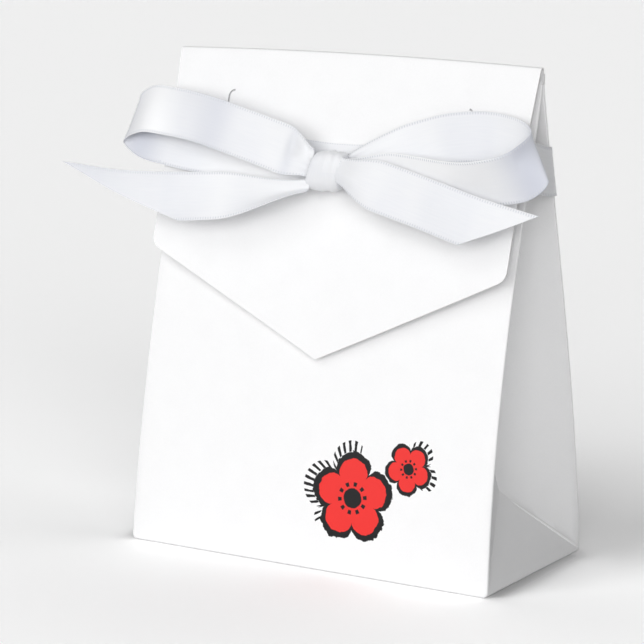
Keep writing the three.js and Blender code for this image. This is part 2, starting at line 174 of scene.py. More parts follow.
# %% [markdown]
# ## Working with sheets
# Card and ribbon are both thin sheets. Each one starts as a flat grid primitive. Its points are then
# moved to where the sheet lies, the faces that are cut away are deleted, and a Solidify modifier gives
# it the real thickness. The UV map keeps the flat sheet's own millimetres, so that print, weave and
# stitches follow the sheet round every fold.


# %% Helpers for sheets
def deselect():
    if bpy.context.object and bpy.context.object.mode != "OBJECT":
        bpy.ops.object.mode_set(mode="OBJECT")
    bpy.ops.object.select_all(action="DESELECT")


def make_active(piece):
    deselect()
    piece.select_set(True)
    bpy.context.view_layer.objects.active = piece


def running_length(points):
    total = [0.0]
    for here, after in zip(points, points[1:]):
        total.append(total[-1] + (after - here).length)
    return total


def from_middle(points):
    total = running_length(points)
    return [value - total[len(total) // 2] for value in total]


def lay_sheet(name, columns, rows, place, keep=None, flat=None):
    """A grid primitive laid point by point. place(column, row) gives millimetres. keep, if given, says of
    each face, from its two columns and two rows, whether it stays. flat(column, row) gives the place on
    the flat sheet, which is otherwise measured along the middle."""
    deselect()
    across, up = len(columns) - 1, len(rows) - 1
    bpy.ops.mesh.primitive_grid_add(x_subdivisions=across, y_subdivisions=up, size=1)
    piece = bpy.context.object
    piece.name = name
    mesh = piece.data
    mesh.name = name
    spots = [[Vector(place(column, row)) for row in rows] for column in columns]
    along = from_middle([line[up // 2] for line in spots])
    rise = from_middle(spots[across // 2])
    where = {}
    for vertex in mesh.vertices:
        i = round((vertex.co.x + 0.5) * across)
        j = round((vertex.co.y + 0.5) * up)
        where[vertex.index] = (i, j)
        vertex.co = spots[i][j] * MM
    layer = mesh.uv_layers.active
    for loop in mesh.loops:
        i, j = where[loop.vertex_index]
        layer.data[loop.index].uv = flat(columns[i], rows[j]) if flat else (along[i], rise[j])
    if keep:
        bpy.ops.object.mode_set(mode="EDIT")
        bpy.ops.mesh.select_mode(type="FACE")
        bpy.ops.object.mode_set(mode="OBJECT")
        for polygon in mesh.polygons:
            corners = [where[index] for index in polygon.vertices]
            i, j = min(c[0] for c in corners), min(c[1] for c in corners)
            polygon.select = not keep(columns[i], columns[i + 1], rows[j], rows[j + 1])
        bpy.ops.object.mode_set(mode="EDIT")
        bpy.ops.mesh.delete(type="FACE")
        bpy.ops.object.mode_set(mode="OBJECT")
    return piece


def turn_out(piece, outwards):
    """Flips the sheet if most of it faces away from outwards(centre)."""
    total = sum(p.normal.dot(outwards(p.center)) * p.area for p in piece.data.polygons)
    if total < 0:
        make_active(piece)
        bpy.ops.object.mode_set(mode="EDIT")
        bpy.ops.mesh.select_all(action="SELECT")
        bpy.ops.mesh.flip_normals()
        bpy.ops.object.mode_set(mode="OBJECT")


def close_seam(piece):
    """Joins the two ends of a sheet that goes once round."""
    make_active(piece)
    bpy.ops.object.mode_set(mode="EDIT")
    bpy.ops.mesh.select_all(action="SELECT")
    bpy.ops.mesh.remove_doubles(threshold=0.01 * MM)
    bpy.ops.mesh.normals_make_consistent(inside=False)
    bpy.ops.object.mode_set(mode="OBJECT")


def apply_modifier(piece, kind, **settings):
    make_active(piece)
    modifier = piece.modifiers.new(kind.title(), kind)
    for key, value in settings.items():
        setattr(modifier, key, value)
    bpy.ops.object.modifier_apply(modifier=modifier.name)


def shade_smooth(piece, sharp_from):
    make_active(piece)
    bpy.ops.object.shade_smooth_by_angle(angle=math.radians(sharp_from))


def thicken(piece, face, rim, thickness, offset=-1, edge=0.05, sharp_from=40):
    """Gives a laid sheet its face and rim finishes, its thickness and its softened edges."""
    piece.data.materials.append(face)
    piece.data.materials.append(rim)
    apply_modifier(
        piece,
        "SOLIDIFY",
        thickness=thickness * MM,
        offset=offset,
        use_even_offset=True,
        use_quality_normals=True,
        material_offset_rim=1,
    )
    apply_modifier(
        piece,
        "BEVEL",
        width=edge * MM,
        segments=1,
        limit_method="ANGLE",
        angle_limit=math.radians(60),
        use_clamp_overlap=True,
    )
    shade_smooth(piece, sharp_from)


def report(piece):
    size = [round(value / MM, 1) for value in piece.dimensions]
    print(f"{piece.name}: {len(piece.data.polygons)} faces, {size} mm")


print("sheet helpers ready")

# %% [markdown]
# ## Writing materials as arithmetic
# A finish is a tree of nodes, and most of them are sums. The small class below wraps a node's output so
# that Python's own signs add the Math nodes. Everything else goes through one method that takes the
# node's type, its settings and what goes into its sockets. A finish ends in one surface with a bump.


# %% A wire and a finish
class Wire:
    def __init__(self, finish, socket):
        self.finish = finish
        self.socket = socket

    def maths(self, operation, *others):
        inputs = dict(enumerate([self, *others]))
        return self.finish.node("ShaderNodeMath", {"operation": operation}, inputs)

    def __add__(self, other):
        return self.maths("ADD", other)

    def __sub__(self, other):
        return self.maths("SUBTRACT", other)

    def __mul__(self, other):
        return self.maths("MULTIPLY", other)

    def __truediv__(self, other):
        return self.maths("DIVIDE", other)

    def __pow__(self, other):
        return self.maths("POWER", other)

    def __neg__(self):
        return self.maths("MULTIPLY", -1)

    def __rsub__(self, other):
        return -self + other

    __radd__ = __add__
    __rmul__ = __mul__

    def between(self, low, high):
        """0 below low, 1 above high, with a smooth step between them."""
        settings = {"interpolation_type": "SMOOTHSTEP"}
        inputs = {"Value": self, "From Min": low, "From Max": high}
        return self.finish.node("ShaderNodeMapRange", settings, inputs)


class Finish:
    def __init__(self, name, kind="materials"):
        self.material = getattr(bpy.data, kind).new(name)
        self.material.use_nodes = True
        self.tree = self.material.node_tree
        self.tree.nodes.clear()

    def node(self, kind, settings=None, inputs=None, output=0):
        made = self.tree.nodes.new(kind)
        for key, value in (settings or {}).items():
            setattr(made, key, value)
        for key, value in (inputs or {}).items():
            if isinstance(value, Wire):
                self.tree.links.new(value.socket, made.inputs[key])
            else:
                made.inputs[key].default_value = value
        return Wire(self, made.outputs[output]) if len(made.outputs) else None

    def mix_colour(self, factor, a, b):
        settings = {"data_type": "RGBA"}
        return self.node("ShaderNodeMix", settings, {0: factor, 6: a, 7: b}, output=2)

    def noise(self, vector, scale, detail=2):
        inputs = {"Vector": vector, "Scale": scale, "Detail": detail}
        return self.node("ShaderNodeTexNoise", inputs=inputs)

    def apart(self, vector):
        first = self.node("ShaderNodeSeparateXYZ", inputs={"Vector": vector})
        return [Wire(self, socket) for socket in first.socket.node.outputs]

    def surface(self, height, bump_distance, **inputs):
        values = {key.replace("_", " "): value for key, value in inputs.items()}
        bump = {"Height": height, "Distance": bump_distance, "Strength": 1.0}
        values["Normal"] = self.node("ShaderNodeBump", inputs=bump)
        shader = self.node("ShaderNodeBsdfPrincipled", inputs=values)
        self.node("ShaderNodeOutputMaterial", inputs={"Surface": shader})
        return self.material


print("materials are written with Wire and Finish")

# %% [markdown]
# ## The card
# Favor boxes are cut from bleached board with a smooth coating. It is nearly white, faintly cool, and
# almost matt, with a soft shine at a low angle. Close to, the coating shows the pressed fibres under
# it as very fine unevenness, and the board as a whole is never perfectly flat. A cut edge shows the
# bare layers of the board, which are a little warmer and rougher than its face.

# %% Mix the card's finishes
CARD_WHITE = (0.92, 0.92, 0.925, 1)
CARD_FIBRE = (0.895, 0.895, 0.9, 1)
EDGE_PALE = (0.88, 0.875, 0.865, 1)
EDGE_DARK = (0.78, 0.77, 0.755, 1)
# The slits' grooves get a much darker grey: painted shade for the dark seen through a cut slit.
SLIT_SHADE_PALE = (0.62, 0.62, 0.63, 1)
SLIT_SHADE_DARK = (0.52, 0.52, 0.53, 1)
CARD_BUMP = 0.00002
CUT_BUMP = 0.00003
CARD_IOR = 1.3


def card_ground(finish):
    """The card's colour, roughness and height, shared by the plain and the printed card."""
    place = finish.node("ShaderNodeTexCoord", output=3)
    fibres = finish.noise(place, 2600, detail=3)
    clouds = finish.noise(place, 140, detail=2)
    flatness = finish.noise(place, 45, detail=1)
    colour = finish.mix_colour((fibres * 0.6 + clouds * 0.4).between(0.35, 0.75), CARD_WHITE, CARD_FIBRE)
    roughness = 0.46 + fibres * 0.08 + clouds * 0.06
    height = fibres * 0.25 + clouds * 0.5 + flatness * 3.0
    return colour, roughness, height


def plain_card():
    finish = Finish("white card")
    colour, roughness, height = card_ground(finish)
    return finish.surface(height, CARD_BUMP, Base_Color=colour, Roughness=roughness, IOR=CARD_IOR)


def cut_edge_and_slit_shade(name, pale, dark):
    finish = Finish(name)
    place = finish.node("ShaderNodeTexCoord", output=3)
    layers = finish.noise(place, 6500, detail=2)
    colour = finish.mix_colour(layers.between(0.3, 0.7), pale, dark)
    return finish.surface(layers, CUT_BUMP, Base_Color=colour, Roughness=0.7 + layers * 0.2)


card = plain_card()
card_edge = cut_edge_and_slit_shade("cut edge of the card", EDGE_PALE, EDGE_DARK)
# The second finish is the painted shade of the slits, a darker grey than any real cut edge.
slit_painted_shade = cut_edge_and_slit_shade("painted shade in the card's slits", SLIT_SHADE_PALE, SLIT_SHADE_DARK)
print("mixed", ", ".join(made.name for made in (card, card_edge, slit_painted_shade)))

# %% [markdown]
# ## The print
# The front carries two printed blossoms in flat red with bold, uneven black outlines and short hatched
# strokes, as if drawn with a brush pen. Each is drawn with polar arithmetic: a radius that swells five
# times round makes the petals. The wobble of the pen is a slow noise over the sheet.

# %% Draw the blossoms on the card
INK_RED = (0.84, 0.034, 0.03, 1)
INK_BLACK = (0.008, 0.008, 0.009, 1)
INK_EDGE = 0.1
PETAL_SWELL = 0.36
PETAL_WAIST = 0.66
OUTLINE_SHARE = 0.055
HATCH_PER_MM = 4.6
HEART_SHARE = 0.24
SEED_SHARE = 0.34


def blossom(finish, x, y, centre, radius, turn, hatch_from):
    """Two masks for one blossom, red and black, from the flat sheet's millimetres."""
    dx, dy = x - centre[0], y - centre[1]
    angle = dy.maths("ARCTAN2", dx)
    distance = (dx * dx + dy * dy).maths("SQRT")
    wobble = finish.noise(finish.node("ShaderNodeCombineXYZ", inputs={0: dx, 1: dy}), 0.55)
    swell = ((angle - turn) * 2.5).maths("COSINE").maths("ABSOLUTE") ** 0.55
    rim = (swell * PETAL_SWELL + PETAL_WAIST) * radius
    inside = rim - distance + (wobble - 0.5) * (0.05 * radius)
    line = OUTLINE_SHARE * radius + (wobble - 0.35) * (0.14 * radius)
    red = (inside - line * 0.5).between(-INK_EDGE, INK_EDGE)
    outline = (inside.maths("ABSOLUTE") - line * 1.1).between(INK_EDGE, -INK_EDGE)
    side = ((angle - hatch_from).maths("COSINE") - 0.1).between(0.0, 0.5)
    waves = (angle * (radius * HATCH_PER_MM)).maths("SINE") + (wobble - 0.5) * 1.8
    stroke = (waves - 1.6 * (1 - side)).between(0.0, 0.3)
    length = rim * (1.12 + 0.24 * side)
    ring = (distance - rim * 1.08).between(0, 0.15) * (length - distance).between(0, 0.15)
    heart = (HEART_SHARE * radius - distance + (wobble - 0.5) * 0.6).between(-INK_EDGE, INK_EDGE)
    seed_ring = (distance - SEED_SHARE * radius).maths("ABSOLUTE") - 0.05 * radius
    seeds = seed_ring.between(INK_EDGE, -INK_EDGE) * (angle * 10).maths("SINE").between(0.1, 0.4)
    black = outline
    for mark in (ring * stroke, heart, seeds):
        black = black.maths("MAXIMUM", mark)
    return red, black


def printed_card():
    finish = Finish("printed white card")
    colour, roughness, height = card_ground(finish)
    x, y, _ = finish.apart(finish.node("ShaderNodeTexCoord", output=2))
    large = blossom(finish, x, y, centre=(13.3, -37.9), radius=10.6, turn=0.35, hatch_from=2.6)
    small = blossom(finish, x, y, centre=(28.6, -28.6), radius=6.1, turn=0.9, hatch_from=0.4)
    red, black = (one.maths("MAXIMUM", other) for one, other in zip(large, small))
    colour = finish.mix_colour(red, colour, INK_RED)
    colour = finish.mix_colour(black, colour, INK_BLACK)
    ink = red.maths("MAXIMUM", black)
    return finish.surface(
        height + ink * 0.2,
        CARD_BUMP,
        Base_Color=colour,
        Roughness=roughness - ink * 0.08,
        IOR=CARD_IOR,
    )


card_printed = printed_card()
print("mixed", card_printed.name)

# %% [markdown]
# ## The front, the back and their side pleats
# Each of the two large panels turns a sharp rounded crease at both of its upright edges and goes on as
# half of a side pleat, so panel and pleat halves are laid as one sheet. At its foot the panel curls
# under towards the base. The pleats stop lower than the panels, so the sheet is cut there.

# %% Lay out the two wraps
PLEAT_TOP = GUSSET_TOP - FOLD
PANEL_RIPPLE = 0.22
CREASE_BEAD = 0.3
CREASE_BEAD_REACH = 1.4
TINY = 1e-6


def pleat_turn(z):
    return math.pi / 2 + math.atan2(valley_inset(z), half_depth(z))


def foot_curl(run, radius=FOLD):
    """Height and how far in, for a run up the panel that is negative under the foot's curl."""
    if run >= 0:
        return run + radius, 0
    angle = -run / radius
    return radius * (1 - math.sin(angle)), radius * (1 - math.cos(angle))


def panel_ripple(x, z, facing):
    """The panels are not perfectly flat: a slow swell of a few tenths of a millimetre."""
    fade = smooth(z / 15) * smooth((HEIGHT - z) / 20)
    return PANEL_RIPPLE * fade * noise.noise(Vector((x / 38, z / 45, 7.3 * facing)))


def crease_bead(run):
    """The scored crease above a foot triangle stands out as a small rounded bead."""
    if not 0 < run < CREASE_BEAD_REACH:
        return 0
    return CREASE_BEAD * math.sin(math.pi * run / CREASE_BEAD_REACH)


def wrap_place(facing):
    waist = FRONT_WAIST if facing < 0 else BACK_WAIST

    def place(column, run):
        zone, side, share = column
        z, under = foot_curl(run)
        depth = half_depth(z) - under
        width = half_width(z, waist)
        radius = fold_radius(z)
        if zone == "panel":
            x = share * (width - radius)
            return x, facing * (depth + panel_ripple(x, z, facing)), z + ridge_rise(x, z)
        turned = share if zone == "corner" else 1
        if z > GUSSET_TOP:
            return side * (width - radius + radius * turned), facing * depth, z
        angle = pleat_turn(z) * turned
        corner = Vector(
            (
                side * (width - radius + radius * math.sin(angle)),
                facing * (depth - radius + radius * math.cos(angle)),
                z,
            )
        )
        if zone == "corner":
            return corner
        up = (z - FOLD) / PLEAT_TOP
        valley = valley_spot(side, facing, mix(APEX, GUSSET_TOP, max(up, 0)))
        bead = crease_bead(run) * math.sin(math.pi * min(share, 0.9) / 0.9) ** 0.3
        return corner.lerp(valley, share) + Vector((side * bead, 0, 0))

    return place


def wrap_columns():
    """From one pleat's valley round the panel to the other's: (zone, side, share)."""
    columns = [("gusset", -1, share) for share in steps(1, 0, 12)[:-1]]
    columns += [("corner", -1, share) for share in steps(1, 0, 8)[:-1]]
    columns += [("panel", 0, share) for share in steps(-1, 1, 48)]
    columns += [("corner", 1, share) for share in steps(0, 1, 8)[1:]]
    columns += [("gusset", 1, share) for share in steps(0, 1, 12)[1:]]
    return columns


def wrap_rows(top):
    rows = steps(-FOLD * math.pi / 2, 0, 5)[:-1]
    rows += steps(0, CREASE_BEAD_REACH, 6)[:-1]
    rows += steps(CREASE_BEAD_REACH, PLEAT_TOP, 62)
    rows += [run - FOLD for run in steps(GUSSET_TOP + 0.12, top, 3)]
    return rows


def wrap_keep(first, second, low, high):
    """The pleats stop at their top, and a fine cut there frees the corners above them."""
    zones = {first[0], second[0]}
    if "gusset" in zones:
        return low >= 0 and high <= PLEAT_TOP + TINY
    if "corner" in zones:
        return not low <= PLEAT_TOP + TINY < high - TINY
    return True


def wrap(name, facing, top, body, material, nodes):
    piece = lay_sheet(name, wrap_columns(), wrap_rows(top), wrap_place(facing), wrap_keep)
    turn_out(piece, lambda centre: Vector((0, facing, 0)) if abs(centre.x) < 0.05 else Vector())
    thicken(piece, material, card_edge, CARD)
    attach(piece, body)
    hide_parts(*nodes)
    report(piece)


wrap(
    "front_wrap", -1, FRONT_TOP, "front", card_printed,
    ["front_panel", "gusset_front_left", "gusset_front_right"],
)
wrap(
    "back_wrap", 1, BACK_TOP, "box", card,
    ["back_panel", "gusset_back_left", "gusset_back_right"],
)

# %% [markdown]
# ## The valley of each side pleat
# The two halves of a pleat meet in a valley crease. Here the front half moves when the box opens and
# the back half stays, so the crease is a narrow strip of its own that stretches between them.

# %% Fold the valleys
CREASE_REACH = 1.3
CREASE_BACK = 0.12
CREASE_BEHIND = 0.04
VALLEY_COLUMNS = [-1, -0.75, -0.5, -0.2, 0.2, 0.5, 0.75, 1]


def valley_place(side):
    def place(across, up):
        z_edge = mix(FOLD, GUSSET_TOP, up)
        z = mix(APEX, GUSSET_TOP, up)
        facing = math.copysign(1, across)
        valley = valley_spot(side, facing, z)
        if abs(across) < 0.5:
            return valley.x - side * CREASE_BACK, valley.y * abs(across) * 2, z
        waist = FRONT_WAIST if facing < 0 else BACK_WAIST
        edge_x = side * (half_width(z_edge, waist) - fold_radius(z_edge))
        edge = Vector((edge_x, facing * half_depth(z_edge), z_edge))
        reach = (abs(across) - 0.5) * 2 * CREASE_REACH
        out = (edge - valley).normalized()
        inwards = Vector((-side, 0, 0)) * CREASE_BEHIND
        return valley + out * reach + inwards

    return place


for word, side in (("left", -1), ("right", 1)):
    crease = lay_sheet(f"valley_{word}", VALLEY_COLUMNS, steps(0, 1, 40), valley_place(side))
    turn_out(crease, lambda centre: Vector((side, 0, 0)))
    thicken(crease, card, card_edge, CARD * 0.7, edge=0.02)
    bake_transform(crease)
    report(crease)

# %% [markdown]
# ## The triangles at the foot of the sides
# Under each pleat a triangle of card leans in from the base to the point where the valley starts. It
# runs on a little behind the pleat, as the glued layers of the real box do, so that no gap shows there
# when the front swings open.

# %% Fold the triangles
TUCK = 3.2
TUCK_HALF = 2.4
SIDE_FOOT_ROUND = 1.1
SIDE_FOOT_INSET = 0.15
TRIANGLE_CLEAR = 0.45
APEX_INSET = 0.05


def triangle_place(side):
    outer = WIDTH / 2 - SIDE_FOOT_INSET
    apex_x = abs(valley_spot(side, 0, APEX).x) - APEX_INSET
    slope = (apex_x - outer) / (APEX - FOLD)

    def place(across, run):
        z, under = foot_curl(run, SIDE_FOOT_ROUND)
        climb = max(run, 0)
        share = climb / (APEX + TUCK)
        half = mix(DEPTH / 2 - TRIANGLE_CLEAR, TUCK_HALF, share)
        x = outer - under + slope * climb
        return side * x, across * half, z

    return place


for word, side in (("left", -1), ("right", 1)):
    rows = steps(-SIDE_FOOT_ROUND * math.pi / 2, 0, 6)[:-1] + steps(0, APEX + TUCK, 12)
    foot = lay_sheet(f"foot_{word}", steps(-1, 1, 12), rows, triangle_place(side))
    turn_out(foot, lambda centre: Vector((side, 0, 0)))
    thicken(foot, card, card_edge, CARD)
    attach(foot, "box")
    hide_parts(f"gusset_triangle_{word}")
    report(foot)

# %% [markdown]
# ## The base
# The base is one panel between the four foot creases. The dust flaps and glue tabs inside keep their
# measured solids and only get the card's finish.

# %% Lay the base and finish the hidden card
def base_place(x_share, y_share):
    half_x = WIDTH / 2 - SIDE_FOOT_ROUND - SIDE_FOOT_INSET
    return x_share * half_x, y_share * (DEPTH / 2 - FOLD), 0


base = lay_sheet("base", steps(-1, 1, 12), steps(-1, 1, 6), base_place)
turn_out(base, lambda centre: Vector((0, 0, -1)))
thicken(base, card, card_edge, CARD)
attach(base, "box")
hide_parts("base_panel")
report(base)

for node in ("base_flap_left", "base_flap_right", "glue_tab_left", "glue_tab_right"):
    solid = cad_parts[node]
    for material_slot in solid.material_slots:
        material_slot.material = card

# %% [markdown]
# ## The flap
# The card rolls over the ridge from the back and runs down the front as the closing flap, with a
# V-shaped edge and two cut slits whose tops hook towards the middle. The slits are cut with a Boolean
# modifier, from thin cutters that follow the flap's own surface. Their lips close again behind the knife,
# so each is a fine groove. Its walls and floor are painted dark grey: painted shade for the dark that is
# seen through a cut slit.

# %% Shape the flap
FLAP_HALF_WIDTH = 51.9
FLAP_RIDGE_HALF_WIDTH = 52.7
FLAP_TAPER = 16
FLAP_SIDE = 52
FLAP_TIP = 76.5
FLAP_CORNER = 2
FLAP_LEAN = 14.2
FLAP_FLARE = 3
FLAP_START = 0.6
FLAP_RIPPLE = 0.28
ROLL_CENTRE = Vector((0, -0.24, 126.76))
ROLL_RADIUS = 0.86
ROLL_TAIL = 2.4
ROLL_TAIL_EASE = 0.8
RIDGE_AXIS = Vector((0, 0.2, 126.8))
FLAP_OFF = 1.35


def flap_lean(x):
    return math.radians(FLAP_LEAN + FLAP_FLARE * (x / FLAP_HALF_WIDTH) ** 2)


def flap_ripple(x, down):
    fade = smooth(down / 20)
    return FLAP_RIPPLE * fade * noise.noise(Vector((x / 34, down / 30, 3.1)))


def on_flap(x, down, off=0):
    """A place on the flap's face: x across, down along the card, off out from it."""
    lean = flap_lean(x)
    radius = FLAP_OFF + off + flap_ripple(x, down)
    y = RIDGE_AXIS.y - radius * math.cos(lean) - down * math.sin(lean)
    z = RIDGE_AXIS.z + radius * math.sin(lean) - down * math.cos(lean)
    return Vector((x, y, z + ridge_rise(x, z)))


def flap_length(x):
    into = max(abs(x) - (FLAP_HALF_WIDTH - FLAP_CORNER), 0)
    rounding = FLAP_CORNER - math.sqrt(max(FLAP_CORNER**2 - into**2, 0))
    return mix(FLAP_TIP, FLAP_SIDE, abs(x) / FLAP_HALF_WIDTH) - rounding


def flap_x(column, down):
    """The flap is as wide as the ridge at its root and tapers a little below it."""
    return column * mix(FLAP_RIDGE_HALF_WIDTH, FLAP_HALF_WIDTH, min(down / FLAP_TAPER, 1))


def flap_place(column, row):
    """Rows 0 to 1 run down the flap, rows 0 to -1 back over the roll."""
    if row >= 0:
        down = mix(FLAP_START, flap_length(FLAP_HALF_WIDTH * column), row)
        return on_flap(flap_x(column, down), down)
    x = flap_x(column, 0)
    lean = flap_lean(x)
    angle = mix(math.pi - lean, 0, -row)
    y = ROLL_CENTRE.y + ROLL_RADIUS * math.cos(angle)
    z = ROLL_CENTRE.z + ROLL_RADIUS * math.sin(angle)
    return Vector((x, y, z + ridge_rise(x, z)))


def flap_flat(column, row):
    down = flap_length(FLAP_HALF_WIDTH * column) * row
    return flap_x(column, max(down, 0)), -(down if row >= 0 else row)


flap_columns = [math.sin(math.pi / 2 * share) for share in steps(-1, 1, 72)]
flap_rows = [-1.35, -1.15] + steps(-1, 0, 12)[:-1] + steps(0, 1, 48)


def flap_and_tail_place(column, row):
    """Beyond the roll the sheet runs a little way down the back, to the ridge crease."""
    x = flap_x(column, 0)
    if row >= -1:
        return flap_place(column, row)
    down = (-1 - row) * ROLL_TAIL
    z = ROLL_CENTRE.z - down
    y = mix(ROLL_CENTRE.y + ROLL_RADIUS, half_depth(z), min(down / ROLL_TAIL_EASE, 1))
    return Vector((x, y, z + ridge_rise(x, z)))


flap = lay_sheet("flap_sheet", flap_columns, flap_rows, flap_and_tail_place, flat=flap_flat)
turn_out(flap, lambda centre: Vector((0, -1, 0)) if centre.z < 0.12 else Vector())
thicken(flap, card, card_edge, CARD)
report(flap)

# %% Cut the ribbon slits
SLIT_X = 35.6
SLIT_TOP = 10.3
SLIT_LENGTH = 25
SLIT_WIDTH = 0.5
SLIT_DEPTH = 0.34
CUTTER_ABOVE = 0.8
SHARP_FROM = 40
SLIT_HOOK = {-1: 1.6, 1: 0.8}
RIGHT_SLIT_DROP = 0.8


def slit_centre(side, run):
    """The slit's centre line: a hook of a quarter circle at the top, then straight down."""
    top = SLIT_TOP + (RIGHT_SLIT_DROP if side > 0 else 0)
    hook = SLIT_HOOK[side]
    quarter = hook * math.pi / 2
    if run < quarter:
        angle = run / hook
        return hook * (1 - math.sin(angle)), top + hook * (1 - math.cos(angle))
    return 0, top + hook + run - quarter


def slit_place(side):
    def place(across, run):
        here = Vector(slit_centre(side, run))
        ahead = Vector(slit_centre(side, run + 0.01))
        along = (ahead - here).normalized()
        reach = across * SLIT_WIDTH / 2
        inward = here.x + along.y * reach
        down = here.y - along.x * reach
        return on_flap(side * (SLIT_X - inward), down, CUTTER_ABOVE)

    return place


for side in (-1, 1):
    quarter = SLIT_HOOK[side] * math.pi / 2
    runs = steps(0, quarter, 6) + steps(quarter, SLIT_LENGTH, 6)[1:]
    cutter = lay_sheet("slit_cutter", [-1, 1], runs, slit_place(side))
    # The groove's walls and floor take the dark grey of the painted slit shade.
    cutter.data.materials.append(slit_painted_shade)
    turn_out(cutter, lambda centre: Vector((0, -1, 0)))
    apply_modifier(cutter, "SOLIDIFY", thickness=(CUTTER_ABOVE + SLIT_DEPTH) * MM, offset=-1)
    apply_modifier(
        flap,
        "BOOLEAN",
        object=cutter,
        operation="DIFFERENCE",
        solver="EXACT",
        material_mode="TRANSFER",
    )
    bpy.data.objects.remove(cutter)
shade_smooth(flap, SHARP_FROM)
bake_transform(flap)
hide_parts("flap", "ridge_fold")
report(flap)

# %% [markdown]
# ## The satin
# Satin ribbon is woven so that long threads float over its face: it has a soft glow rather than a
# sparkle, and a cool, faintly blue shade in its hollows. Both edges are finished by a selvedge of small
# raised stitches, about three to every two millimetres, like the rungs of a ladder. The stitches are
# painted a darker blue-grey, as painted shade. Where the threads turn to the light they glow, and where
# they turn from it they go dull. That light and shade is painted into the colour: each loop and the
# left tail get bands of painted highlight and painted blue shade along their runs, most of all at the
# turns.

# %% Weave the satin's finish
RIBBON_WIDTH = 12.7
RIBBON = 0.24
RIBBON_EDGE = 0.04
SATIN_PALE = (0.835, 0.842, 0.86, 1)
SATIN_DEEP = (0.77, 0.782, 0.82, 1)
# Painted shade and painted highlight, for the bands along the loops and the left tail.
SATIN_PAINTED_SHADE = (0.58, 0.6, 0.68, 1)
SATIN_PAINTED_HIGHLIGHT = (0.93, 0.934, 0.943, 1)
STITCH_PAINTED_SHADE = (0.66, 0.675, 0.72, 1)
STITCH_PITCH = 0.72
THREAD_PITCH = 0.11
SELVEDGE = 0.95
SATIN_BUMP = 0.00003


def waves_along(along, pitch):
    """0 to 1 and back again, once for every pitch."""
    return (along * (2 * math.pi / pitch)).maths("SINE") * 0.5 + 0.5


def stretched_noise(finish, cloth, scale):
    stretched = finish.node("ShaderNodeMapping", inputs={"Vector": cloth, "Scale": scale})
    return finish.noise(stretched, 1)


def satin_finish(name, painted_light_bands=()):
    """painted_light_bands are the painted highlights and painted shades along the run, in millimetres:
    (along, reach, tone, share).
    """
    finish = Finish(name)
    cloth = finish.node("ShaderNodeTexCoord", output=2)
    along, across, _ = finish.apart(cloth)
    threads = waves_along(across, THREAD_PITCH)
    rungs = waves_along(along, STITCH_PITCH)
    from_edge = RIBBON_WIDTH / 2 - across.maths("ABSOLUTE")
    selvedge = from_edge.between(SELVEDGE, SELVEDGE * 0.6)
    hem = from_edge.between(0.3, 0.1)
    slub = stretched_noise(finish, cloth, (0.12, 2.2, 1))
    clouds = stretched_noise(finish, cloth, (0.045, 0.02, 1))
    depth = slub.between(0.3, 0.8) * 0.3 + clouds.between(0.42, 0.62) * 0.6
    colour = finish.mix_colour(depth, SATIN_PALE, SATIN_DEEP)
    # Each band paints a highlight or a shade into the colour at one place along the run.
    for at, reach, tone, share in painted_light_bands:
        band = (-(((along - at) / reach) ** 2)).maths("EXPONENT") * share
        colour = finish.mix_colour(band, colour, tone)
    # The stitches are painted a darker blue-grey: painted shade of the stitched edge.
    stitches = selvedge * (1 - hem) * rungs.between(0.35, 0.85)
    colour = finish.mix_colour(stitches * 0.9, colour, STITCH_PAINTED_SHADE)
    height = threads * 0.1 + slub * 0.12 + selvedge * rungs + hem * 0.8
    return finish.surface(
        height,
        SATIN_BUMP,
        Base_Color=colour,
        Metallic=0.03,
        Roughness=0.43 + slub * 0.06 + selvedge * 0.15,
        Sheen_Weight=0.25,
        Sheen_Roughness=0.4,
        IOR=1.48,
    )


satin = satin_finish("white satin")
# The loops and the left tail carry painted highlights and painted shades along their runs.
satin_left_painted_light = satin_finish(
    "white satin of the left loop, with painted light and shade",
    [
        (7, 1.6, SATIN_PAINTED_SHADE, 0.3),
        (30, 6, SATIN_PAINTED_SHADE, 0.4),
        (49, 5, SATIN_PAINTED_HIGHLIGHT, 0.7),
        (65, 6, SATIN_PAINTED_SHADE, 0.75),
        (100, 14, SATIN_PAINTED_HIGHLIGHT, 1),
    ],
)
satin_right_painted_light = satin_finish(
    "white satin of the right loop, with painted light and shade",
    [(16, 9, SATIN_PAINTED_HIGHLIGHT, 0.25), (90, 22, SATIN_PAINTED_HIGHLIGHT, 1), (61.5, 6.5, SATIN_PAINTED_SHADE, 0.9)],
)
satin_tail_painted_light = satin_finish(
    "white satin of the left tail, with painted light and shade",
    [(26, 9, SATIN_PAINTED_HIGHLIGHT, 0.3), (66, 22, SATIN_PAINTED_SHADE, 0.3)],
)
print("mixed", ", ".join(made.name for made in (satin, satin_left_painted_light, satin_right_painted_light, satin_tail_painted_light)))

# %% [markdown]
# ## Running ribbon along a route
# A run of ribbon is described by a few stops: where its middle is, how far its upper edge tips back
# (lean) and how far it tips to the left (slant). A smooth curve goes through the stops. Where the ribbon
# is pulled into the knot it narrows and gathers into soft folds along its length.


# %% Helpers for ribbon
def knots_of(points):
    marks = [0.0]
    for here, after in zip(points, points[1:]):
        marks.append(marks[-1] + max((after - here).length, TINY) ** 0.5)
    return marks


def curve_through(points):
    """A centripetal curve through the points, as a function of 0 to 1."""
    ends = [points[0] * 2 - points[1], *points, points[-1] * 2 - points[-2]]

    def at(share):
        spot = min(max(share, 0), 1) * (len(points) - 1)
        k = min(int(spot), len(points) - 2)
        p = ends[k : k + 4]
        m = knots_of(p)
        t = mix(m[1], m[2], spot - k)

        def blend_of(a, b, i, j):
            return a * ((m[j] - t) / (m[j] - m[i])) + b * ((t - m[i]) / (m[j] - m[i]))

        first, second, third = (blend_of(p[i], p[i + 1], i, i + 1) for i in range(3))
        early, late = blend_of(first, second, 0, 2), blend_of(second, third, 1, 3)
        return blend_of(early, late, 1, 2)

    return at


